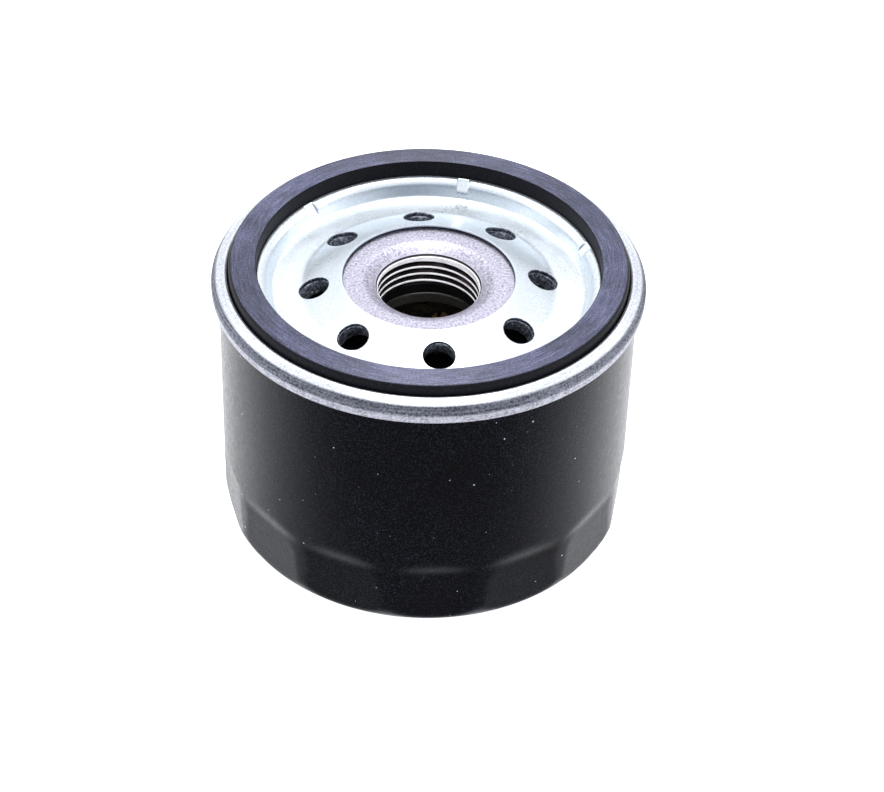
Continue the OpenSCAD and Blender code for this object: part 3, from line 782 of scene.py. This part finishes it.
def make_plate():
    n = HOLES * 48
    th = angles(n, HOLE_AZ - 180.0 / HOLES)
    bounds = [48 * i for i in range(HOLES)]
    z_hi, z_lo = ZT - 5.70, ZT - 12.45
    # thread: a sheet whose rows follow the helix, trimmed flat at both ends
    cols, per = 320, 30
    u0 = ZT - 14.93
    rows = (int((z_hi - u0) / THREAD_P) + 2) * per
    tn = Net()
    a = np.arange(cols) * 2 * math.pi / cols
    u = u0 + np.arange(rows + per) * THREAD_P / per
    q = np.abs((np.arange(rows + per) / per) % 1.0 - 0.5) * 2                # 0 at the root, 1 at the crest
    prof = THREAD_MINOR + (THREAD_MAJOR - THREAD_MINOR) * np.clip((0.77 - q) / (0.77 - 0.14), 0, 1)
    ker = np.array([1, 4, 6, 4, 1]) / 16.0
    prof = np.convolve(np.r_[prof[-per:], prof, prof[:per]], ker, "same")[per:-per]
    grid = []
    for i in range(cols):
        z = u + THREAD_P * i / cols
        m = np.array([mouth(x) for x in z])
        m = np.maximum(m, THREAD_MINOR + np.maximum(0, (ZT - 12.25) - z) * 1.1)
        f = np.clip((ZT - 6.82 - z) / 0.35, 0, 1)                            # the first turn runs in below the countersink
        cutr = THREAD_MINOR + (prof - THREAD_MINOR) * f * f * (3 - 2 * f)
        r = -smin(-cutr, -m, 0.05)
        grid.append(tn.add(np.c_[r * math.cos(a[i]), r * math.sin(a[i]), z]))
    for i in range(cols):
        for j in range(rows - 1):
            if i < cols - 1:
                tn.face(grid[i][j], grid[i + 1][j], grid[i + 1][j + 1], grid[i][j + 1])
            else:
                tn.face(grid[i][j], grid[0][j + per], grid[0][j + per + 1], grid[i][j + 1])
    bt = tn.bm()
    loose = [v for v in bt.verts if not v.link_faces]
    bmesh.ops.delete(bt, geom=loose, context="VERTS")
    for z, no in ((z_hi, (0, 0, 1)), (z_lo, (0, 0, -1))):
        geom = list(bt.verts) + list(bt.edges) + list(bt.faces)
        bmesh.ops.bisect_plane(bt, geom=geom, plane_co=(0, 0, z), plane_no=no, clear_outer=True, dist=1e-5)
    bmesh.ops.remove_doubles(bt, verts=bt.verts, dist=2e-3)
    for f in bt.faces:
        f.material_index = 1

    net = Net()
    top = height_on(rounded([p + ((2.5,) if 16 < p[0] < 23 else (0.3,)) for p in PLATE_TOP], 6), 12.0, 27.0)
    low = height_on(rounded([p + ((2.5,) if 15 < p[0] < 23 else (0.3,)) for p in PLATE_LOW], 6), 12.3, 27.0)
    lead = [(mouth(z), z) for z in (z_hi + (ZT - 4.55 - z_hi) * (i / 12) ** 0.8 for i in range(1, 13))]
    outer = ([(25.2, top(25.2)), (27.0, top(27.0)), (29.2, top(25.2)), (29.45, top(25.2) + 0.04)]
             + [(30.7, ZT - 5.72), (30.9, ZT - 5.68), (36.6, ZT - 5.68), (36.85, ZT - 5.78), (36.9, ZT - 5.98), (36.9, ZT - 7.98), (36.82, ZT - 8.18), (36.6, ZT - 8.28),
                (31.3, ZT - 8.28), (31.0, ZT - 8.36), (30.1, ZT - 9.36), (29.8, ZT - 9.53), (29.4, ZT - 9.55), (27.0, ZT - 9.55), (25.0, low(25.0))])
    inner_top = lead + [(12.6, ZT - 4.55), (13.6, ZT - 4.55), (14.6, ZT - 4.55), (15.4, ZT - 4.55), (16.0, top(16.0)), (16.5, top(16.5)), (16.9, top(16.9))]
    inner_low = ([(16.4, low(16.4)), (15.9, low(15.9)), (15.4, ZT - 7.16), (14.2, ZT - 7.15)] + arc_at((15.6, ZT - 7.15), (12.3, ZT - 7.15), (12.3, ZT - 12), 1.0, 6)
                 + [(12.3, ZT - 10), (12.3, ZT - 12.3), (12.2, ZT - 12.55), (11.95, ZT - 12.7), (10.2, ZT - 12.7), (9.75, ZT - 12.70), (9.62, ZT - 12.66)])
    ro = [net.ring(th, r, z) for r, z in outer]
    rt = [net.ring(th, r, z) for r, z in inner_top]
    rl = [net.ring(th, r, z) for r, z in inner_low]
    for rs in (ro, rt, rl):
        for x, y in zip(rs, rs[1:]):
            net.strip(x, y)
    e = 0.2
    hi = holed_band(net, th, rt[-1], ro[0], 16.9, 25.2, bounds, 20.7, cone_edge(top, HOLE_R + e), on(top), side=26, rings=6)
    lo = holed_band(net, th, rl[0], ro[-1], 16.4, 25.0, bounds, 20.7, cone_edge(low, HOLE_R + e), on(low), side=26, rings=6, phis=[f[1] for f in hi])
    net.now = 2
    punch(net, hi, lo, e)
    bm = net.bm()
    tmp = bpy.data.meshes.new("tmp_thread")
    bt.to_mesh(tmp)
    bt.free()
    bm.from_mesh(tmp)
    bpy.data.meshes.remove(tmp)
    for z0, z1, mat in ((z_hi, lead[0][1], 0), (inner_low[-1][1], z_lo, 1)):
        edges = [x for x in bm.edges if len(x.link_faces) == 1 and all(z0 - 5e-3 < v.co.z < z1 + 5e-3 for v in x.verts)]
        zip_rings(bm, edges, mat)
    ob = to_object(bm, "tapping_plate_threaded", [M_PLATE, M_THREAD, M_CUT], sharp=40)
    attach(ob, "housing"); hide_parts("tapping_plate")
    return ob


# ------------------------------------------------------------------ rings and turned pieces
def make_simple():
    made = {}

    def put(ob, body, node):
        if body:
            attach(ob, body)
        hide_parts(node)
        made[node] = ob
        return ob

    lo = ZT - 4.98
    g = rounded([(GASKET_RI, lo, 0.25), (GASKET_RI, ZT, 0.20), (GASKET_RO, ZT, 0.85), (GASKET_RO, lo, 0.25)], 6, closed=True)
    put(revolve("gasket_ring", split(g, 0.7), M_GASKET, 384), "housing", "gasket")

    c = [(36.86, ZT - 4.7, 0.1), (CAN_R - 0.46, ZT - 4.7, 0.1), (CAN_R - 0.46, ZT - 3.12), (CAN_R + 0.2, ZT - 3.12, 0.05), (CAN_R - 0.1, ZT - 2.9, 0.1), (36.9, ZT - 2.47, 0.1)]
    put(revolve("seam_compound_bead", rounded(c, 3, closed=True), M_COMPOUND, 192), "housing", "seam_compound")

    v = [(9.9, ZT - 14.95, 0.2), (9.9, ZT - 12.76, 0.2), (12.35, ZT - 12.76, 0.1), (12.35, ZT - 11.75, 0.15), (12.62, ZT - 11.56, 0.1), (14.0, ZT - 11.70, 0.4),
         (25.9, ZT - 9.68, 0.6), (26.3, ZT - 9.62, 0.2), (26.75, ZT - 9.80, 0.15), (26.7, ZT - 10.2, 0.2), (26.2, ZT - 10.42, 0.5), (15.2, ZT - 12.75, 1.0), (14.6, ZT - 13.2, 0.4), (14.5, ZT - 14.6, 0.2), (14.2, ZT - 14.95, 0.1)]
    ob = revolve("anti_drainback_umbrella", split(rounded(v, 5, closed=True), 0.8), M_VALVE, 256)
    put(ob, None, "anti_drainback_valve")
    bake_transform(ob)

    def cap(line, t):
        return line + beside(line, t)[::-1]
    up = rounded([(10.5, EL_TOP - 2.5), (10.5, EL_TOP, 0.9), (20.0, EL_TOP, 0.8), (20.6, EL_TOP - 0.12, 0.5), (26.4, EL_TOP - 0.12, 0.5), (27.0, EL_TOP, 0.8), (EL_R, EL_TOP, 0.9), (EL_R, EL_TOP - 2.8)], 6)
    put(revolve("element_upper_cap", split(cap(up, 0.40), 1.2), M_TIN, 256), "element", "upper_end_cap")
    dn = rounded([(EL_R, EL_LOW + 3.3), (EL_R, EL_LOW, 0.9), (27.0, EL_LOW, 0.8), (26.4, EL_LOW + 0.12, 0.5), (20.6, EL_LOW + 0.12, 0.5), (20.0, EL_LOW, 0.8), (11.5, EL_LOW, 0.9), (11.5, EL_LOW + 2.6)], 6)
    put(revolve("element_lower_cap", split(cap(dn, 0.40), 1.2), M_TIN, 256), "element", "lower_end_cap")

    for node, name, z in (("upper_potting", "upper_potting_ring", EL_TOP - 0.45 - 1.55), ("lower_potting", "lower_potting_ring", EL_LOW + 0.45 + 0.05)):
        o = rounded([(TUBE_R + 0.06, z, 0.1), (TUBE_R + 0.06, z + 1.5, 0.3), (EL_R - 0.5, z + 1.5, 0.3), (EL_R - 0.5, z, 0.1)], 4, closed=True)
        put(revolve(name, split(o, 1.5), M_POTTING, 192), "element", node)

    h = [(14.2, 8.2, 0.12), (14.2, 8.85, 0.12), (11.42, 8.85, 0.1), (11.42, 12.6, 0.5), (6.5, 12.6, 0.15), (6.5, 12.0, 0.1), (10.8, 12.0, 0.1), (10.8, 8.2, 0.3)]
    put(revolve("bypass_seat_cup", split(rounded(h, 5, closed=True), 0.9), M_BYPASS, 192), "element", "bypass_housing")
    s = [(5.2, 12.65, 0.12), (5.2, 13.65, 0.12), (9.4, 13.65, 0.12), (9.4, 12.65, 0.12)]
    put(revolve("bypass_washer", split(rounded(s, 4, closed=True), 0.7), M_VALVE, 192), "bypass_valve", "bypass_seal")
    p = [(0, 12.3), (4.6, 12.3, 0.15), (5.12, 12.8, 0.15), (5.12, 13.7, 0.05), (9.6, 13.7, 0.15), (9.6, 14.4, 0.2), (5.2, 14.4, 0.3), (4.8, 15.8, 0.3), (4.2, 16.1, 0.3), (0, 16.1)]
    put(revolve("bypass_poppet_disc", split(rounded(p, 5), 0.8, closed=False), M_BYPASS, 192), "bypass_valve", "bypass_poppet")
    return made


# ------------------------------------------------------------------ centre tube
def make_tube():
    rows, per, n = 5, 12, 12 * 24
    z0, z1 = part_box("center_tube")[0].z / MM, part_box("center_tube")[1].z / MM
    h = EL_TOP - 0.9 - EL_LOW - 0.1
    ro, ri = TUBE_R, TUBE_R - 0.5
    th = angles(n, 5.0 - 15.0)
    net = Net()
    mids = [EL_LOW + 0.45 + h * (j + 0.75) / (rows + 0.5) for j in range(rows)]
    gap = h / (rows + 0.5)
    bounds = {0: [24 * i for i in range(per)], 12: [12 + 24 * i for i in range(per)]}
    zs = [m - gap / 2 for m in mids] + [mids[-1] + gap / 2]
    out_r, in_r = [net.ring(th, ro, z) for z in zs], [net.ring(th, ri, z) for z in zs]
    for j in range(rows):
        off = 0 if j % 2 == 0 else 12
        res = []
        for rr, lst in ((ro, out_r), (ri, in_r)):
            def edge(mid, ph, centre=False, rr=rr, zc=mids[j]):
                if centre:
                    return zc
                y, z = 2.0 * math.cos(ph), 2.0 * math.sin(ph)
                return (mid + math.asin(y / rr), zc + z)

            def lift(x, z, rr=rr):
                return (rr * math.cos(x), rr * math.sin(x), z)
            res.append(holed_band(net, th, lst[j], lst[j + 1], zs[j], zs[j + 1], bounds[off], rr, edge, lift, side=16, rings=4, phis=[f[1] for f in res[0]] if res else None))
        for (ia, _, _), (ib, _, _) in zip(*res):
            net.strip(ia, ib)
    for lst_o, lst_i, z, first in ((out_r, in_r, z0, True), (out_r, in_r, z1, False)):
        k = 0 if first else -1
        a, b = net.ring(th, ro, z), net.ring(th, ri, z)
        net.strip(lst_o[k], a)
        net.strip(a, b)
        net.strip(b, lst_i[k])
    ob = to_object(net, "center_tube_perforated", M_TUBE, sharp=40)
    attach(ob, "element"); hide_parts("center_tube")
    return ob


# ------------------------------------------------------------------ pleated paper and its clip
def make_media():
    pleats, t = 50, 0.5
    ri, ro = TUBE_R + 0.75, EL_R - 0.85
    z0, z1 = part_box("pleated_media")[0].z / MM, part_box("pleated_media")[1].z / MM
    pts = []
    for k in range(pleats):
        a = 2 * math.pi * k / pleats
        for r, d in ((ri, -0.45 / ri), (ri, 0.45 / ri), (ro, math.pi / pleats - 0.8 / ro), (ro, math.pi / pleats + 0.8 / ro)):
            rr = 0.40 if r == ri else 0.72
            pts.append((r * math.cos(a + d), r * math.sin(a + d), rr))
    line = split(rounded(pts, 4, closed=True), 1.3)
    p = np.array(line)
    d = np.roll(p, -1, 0) - np.roll(p, 1, 0)
    d /= np.linalg.norm(d, axis=1)[:, None]
    nr = np.c_[d[:, 1], -d[:, 0]]
    rad = np.hypot(p[:, 0], p[:, 1])
    mid = np.clip((rad - ri) / (ro - ri), 0, 1)
    belly = np.sin(mid * math.pi)
    phase = RNG.uniform(0, 2 * math.pi, len(p) // 8 + 2)
    ph = np.interp(np.arange(len(p)), np.arange(len(phase)) * 8, phase)
    net = Net()
    rows, outs, ins = 15, [], []
    for j in range(rows):
        f = j / (rows - 1)
        wave = 0.09 * belly * np.sin(ph + f * 9.0) * math.sin(f * math.pi)
        q = p + nr * wave[:, None]
        z = z0 + (z1 - z0) * f
        outs.append(net.add(np.c_[q + nr * t / 2, np.full(len(q), z)]))
        ins.append(net.add(np.c_[q - nr * t / 2, np.full(len(q), z)]))
    for j in range(rows - 1):
        net.strip(outs[j], outs[j + 1])
        net.strip(ins[j + 1], ins[j])
    net.strip(ins[0], outs[0])
    net.strip(outs[-1], ins[-1])
    ob = to_object(net, "pleated_filter_paper", M_PAPER, sharp=50)
    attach(ob, "element"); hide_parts("pleated_media")

    # folded strip over the two ends of the paper
    end = EL_R - 1.2
    o = rounded([(25, -0.5, 0.05), (end, -0.5, 0.25), (end, 0.5, 0.25), (25, 0.5, 0.05), (25, 0.2, 0.05), (end - 0.3, 0.2, 0.1), (end - 0.3, -0.2, 0.1), (25, -0.2, 0.05)], 3, closed=True)
    o = split(o, 1.2)
    c0, c1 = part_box("media_clip")[0].z / MM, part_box("media_clip")[1].z / MM
    net = Net()
    layers = []
    for j in range(28):
        f = j / 27
        crimp = 0.03 * math.sin(f * 27 * math.pi)
        layers.append(net.add([(x, y * (1 + crimp if abs(y) > 0.3 else 1), c0 + (c1 - c0) * f) for x, y in o]))
    for a, b in zip(layers, layers[1:]):
        net.strip(a, b)
    bm = net.bm()
    bm.verts.ensure_lookup_table()
    for lay in (layers[0], layers[-1]):
        f = bm.faces.new([bm.verts[i] for i in lay])
        bmesh.ops.triangulate(bm, faces=[f])
    ob2 = to_object(bm, "media_end_clip", M_TIN, sharp=35)
    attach(ob2, "element"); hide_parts("media_clip")


# ------------------------------------------------------------------ springs and cage
def make_springs():
    # bypass coil, with closed end turns
    wire, turns, cr = 1.0, 6.5, 6.6
    z0, z1 = 14.45 + wire / 2, 26.9 - wire / 2
    steps, sides = 560, 16
    e = 0.9 / turns
    net, rows = Net(), []
    for i in range(steps + 1):
        u = i / steps
        a = u * turns * 2 * math.pi
        s = max(0, min(1, (u - e) / (1 - 2 * e)))
        z = z0 + min(u, e) * turns * wire * 1.06 + (z1 - z0 - 2 * 0.9 * wire * 1.06) * s + max(0, u - 1 + e) * turns * wire * 1.06
        b = np.arange(sides) * 2 * math.pi / sides
        r = cr + wire / 2 * np.cos(b)
        zz = np.clip(z + wire / 2 * np.sin(b), z0 - wire / 2 * 0.93, z1 + wire / 2 * 0.93)   # ground flat at both ends
        rows.append(net.add(np.c_[r * math.cos(a), r * math.sin(a), zz]))
    for a, b in zip(rows, rows[1:]):
        net.strip(a, b)
    net.face(*rows[0][::-1])
    net.face(*rows[-1])
    ob = to_object(net, "bypass_coil", M_SPRING, sharp=60, weld=0)
    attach(ob, "element"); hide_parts("bypass_spring")
    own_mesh(ob)

    # stamped leaf spring: a ring with four legs
    prof = rounded([(9.4, 8.12), (15.8, 8.12, 2.0), (27.6, 1.06, 1.6), (30.4, 1.95)], 8)
    low = beside(prof, 0.6)
    zt = np.array(prof)
    zl = np.array(low)

    def top(r):
        return float(np.interp(r, zt[:, 0], zt[:, 1]))

    def bot(r):
        return float(np.interp(r, zl[:, 0], zl[:, 1]))
    n, half = 192, 10
    th = angles(n, 20.0)
    net = Net()
    ri, ro = 9.55, 14.0
    it, ib = net.ring(th, ri, top(ri)), net.ring(th, ri, bot(ri))
    mt, mb = net.ring(th, 11.8, top(11.8)), net.ring(th, 11.8, bot(11.8))
    ot, ob_ = net.ring(th, ro, top(ro)), net.ring(th, ro, bot(ro))
    net.strip(it, mt); net.strip(mt, ot)
    net.strip(ib, mb); net.strip(mb, ob_)
    net.strip(it, ib)
    legs = set()
    for k in range(4):
        c = k * 48
        idx = [(c + i) % n for i in range(-half, half + 1)]
        for i in idx[:-1]:
            legs.add(i)
        mid = th[c]
        ys = np.array([ro * math.sin(i * 2 * math.pi / n) for i in range(-half, half + 1)])
        xs = np.array([ro * math.cos(i * 2 * math.pi / n) for i in range(-half, half + 1)])
        ct, cb = [ot[i] for i in idx], [ob_[i] for i in idx]
        steps = 34
        prev_t, prev_b = ct, cb
        for j in range(1, steps + 1):
            f = j / steps
            end = 30.2 - 0.9 * np.maximum(0, np.abs(ys) / 4.5 - 0.55) ** 2 * 4     # rounded toe
            x = xs + (end - xs) * f
            rr = np.hypot(x, ys)
            cx, cy = np.cos(mid) * x - np.sin(mid) * ys, np.sin(mid) * x + np.cos(mid) * ys
            a = net.add(np.c_[cx, cy, [top(r) for r in rr]])
            b = net.add(np.c_[cx, cy, [bot(r) for r in rr]])
            net.strip(prev_t, a, loop=False)
            net.strip(b, prev_b, loop=False)
            net.face(prev_t[0], prev_b[0], b[0], a[0])
            net.face(prev_t[-1], a[-1], b[-1], prev_b[-1])
            prev_t, prev_b = a, b
        net.strip(prev_t, prev_b, loop=False)
    for i in range(n):
        if i not in legs:
            j = (i + 1) % n
            net.face(ot[i], ot[j], ob_[j], ob_[i])
    ob = to_object(net, "element_leaf_spring", M_SPRING, sharp=40)
    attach(ob, "housing"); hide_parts("element_spring")
    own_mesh(ob)

    # cage that holds the bypass spring
    n = 144
    th = angles(n, 0.0)
    net = Net()
    foot_o = [net.ring(th, r, z) for r, z in ((10.75, 13.9), (10.75, 13.45), (10.95, 13.25), (11.12, 13.25), (11.2, 13.17), (11.2, 12.74), (11.1, 12.65), (10.2, 12.65), (10.1, 12.75), (10.1, 13.9))]
    for a, b in zip(foot_o, foot_o[1:]):
        net.strip(a, b)
    top_c = rounded([(10.75, 25.9), (10.75, 27.6, 0.6), (3.0, 27.6, 0.12), (3.0, 26.95, 0.12), (10.1, 26.95, 0.25), (10.1, 25.9)], 5)
    top_r = [net.ring(th, r, z) for r, z in split(top_c, 1.5, closed=False)]
    for a, b in zip(top_r, top_r[1:]):
        net.strip(a, b)
    fo, fi, to, ti = foot_o[0], foot_o[-1], top_r[0], top_r[-1]
    leg = {(k * 36 + i) % n for k in range(4) for i in range(-5, 5)}
    for i in range(n):
        j = (i + 1) % n
        if i in leg:
            net.face(fo[i], fo[j], to[j], to[i])
            net.face(fi[j], fi[i], ti[i], ti[j])
        else:
            net.face(fo[j], fo[i], fi[i], fi[j])
            net.face(to[i], to[j], ti[j], ti[i])
    for k in range(4):
        for i in ((k * 36 - 5) % n, (k * 36 + 5) % n):
            net.face(fo[i], fi[i], ti[i], to[i])
    ob = to_object(net, "bypass_cage", M_BYPASS, sharp=40)
    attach(ob, "element"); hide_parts("bypass_retainer")


# ------------------------------------------------------------------ stage: floor, light, camera
def make_stage():
    t = Tree("floor_white")
    n = t.noise(t.co, 8.0, 3.0, 0.5)
    t.set(color=t.ramp(n, [(0.3, (0.86, 0.86, 0.865)), (0.7, (0.88, 0.88, 0.885))]), rough=0.9, spec=0.1)
    # lit from below like a light table, a little more at the sides and behind
    x, y, z = t.node("ShaderNodeSeparateXYZ", {"Vector": t.co}).outputs
    glow = t.range(t.math("ADD", t.math("MULTIPLY", t.math("ABSOLUTE", x), 1.2), y), -0.03, 0.06, 0.42, 0.95)
    near = t.math("SQRT", t.math("ADD", t.math("MULTIPLY", x, x), t.math("MULTIPLY", y, y)))
    glow = t.math("MAXIMUM", glow, t.range(near, 0.036, 0.085, 1.0, 0.42))     # no shadow under the can's edge
    t.t.links.new(glow, t.b.inputs["Emission Strength"])
    t.b.inputs["Emission Color"].default_value = (0.97, 0.98, 1.0, 1)
    me = bpy.data.meshes.new("floor")
    s = 4.0
    me.from_pydata([(-s, -s, 0), (s, -s, 0), (s, s, 0), (-s, s, 0)], [], [(0, 1, 2, 3)])
    me.materials.append(t.m)
    floor = bpy.data.objects.new("floor", me)
    bpy.context.scene.collection.objects.link(floor)

    world = bpy.data.worlds.new("studio")
    bpy.context.scene.world = world
    world.use_nodes = True
    nt = world.node_tree
    bg = nt.nodes["Background"]
    tc = nt.nodes.new("ShaderNodeTexCoord")
    sep = nt.nodes.new("ShaderNodeSeparateXYZ")
    nt.links.new(tc.outputs["Generated"], sep.inputs[0])
    # pale tent overhead and behind, darker room on the near side
    mr = nt.nodes.new("ShaderNodeMapRange")
    mr.interpolation_type = "SMOOTHSTEP"
    hz = nt.nodes.new("ShaderNodeMath")
    hz.operation = "MULTIPLY_ADD"
    nt.links.new(sep.outputs["Z"], hz.inputs[0])
    hz.inputs[1].default_value = 0.9
    nt.links.new(sep.outputs["Y"], hz.inputs[2])
    nt.links.new(hz.outputs[0], mr.inputs["Value"])
    mr.inputs["From Min"].default_value = -0.75
    mr.inputs["From Max"].default_value = -0.05
    ramp = nt.nodes.new("ShaderNodeMix")
    ramp.data_type = "RGBA"
    nt.links.new(mr.outputs["Result"], ramp.inputs[0])
    ramp.inputs[6].default_value = (0.09, 0.13, 0.21, 1)
    ramp.inputs[7].default_value = (0.97, 1.00, 1.04, 1)
    nt.links.new(ramp.outputs[2], bg.inputs["Color"])
    bg.inputs["Strength"].default_value = 1.0

    def area(name, loc, aim, size, power, color=(1, 1, 1)):
        d = bpy.data.lights.new(name, "AREA")
        d.shape = "RECTANGLE"
        d.size, d.size_y = size
        d.energy = power
        d.color = color
        o = bpy.data.objects.new(name, d)
        o.location = loc
        o.rotation_euler = (Vector(aim) - Vector(loc)).to_track_quat("-Z", "Y").to_euler()
        bpy.context.scene.collection.objects.link(o)
        return o
    area("soft_left", (-0.75, 0.10, 0.45), (0, 0, 0.02), (0.7, 0.6), 1.4, (0.96, 0.98, 1.0))
    area("soft_right", (0.75, 0.10, 0.45), (0, 0, 0.02), (0.7, 0.6), 1.4, (0.96, 0.98, 1.0))
    area("soft_top", (0.0, 0.20, 0.80), (0, 0, 0.03), (0.34, 0.62), 3.2, (0.98, 0.99, 1.0))
    # a fill for the threaded hole only
    fill = area("soft_front_fill", (0.0, -0.50, 0.62), (0, 0, 0.045), (0.40, 0.30), 4.0, (1.0, 0.99, 1.0))
    only = bpy.data.collections.new("lit_by_front_fill")
    only.objects.link(bpy.data.objects["tapping_plate_threaded"])
    fill.light_linking.receiver_collection = only

    cam_d = bpy.data.cameras.new("camera")
    cam = bpy.data.objects.new("camera", cam_d)
    bpy.context.scene.collection.objects.link(cam)
    cam_d.sensor_fit = "HORIZONTAL"
    cam_d.sensor_width = 36.0
    cam_d.lens = 102.736
    cam_d.clip_start, cam_d.clip_end = 0.01, 50
    x = Vector((0.99961572, 0.01217452, 0.02490358))
    y = -Vector((0.02695914, -0.63603650, -0.77118790))
    z = -Vector((0.00645074, 0.77156293, -0.63612030))
    m = Matrix(((x.x, y.x, z.x, 0.0), (x.y, y.y, z.y, -0.36337832), (x.z, y.z, z.z, 0.32304972), (0, 0, 0, 1)))
    cam.matrix_world = m
    bpy.context.scene.camera = cam
    bpy.context.scene.view_settings.view_transform = "Standard"
    bpy.context.scene.view_settings.look = "None"


make_can()
make_lid()
make_plate()
make_simple()
make_tube()
make_media()
make_springs()
make_stage()

bpy.context.view_layer.update()
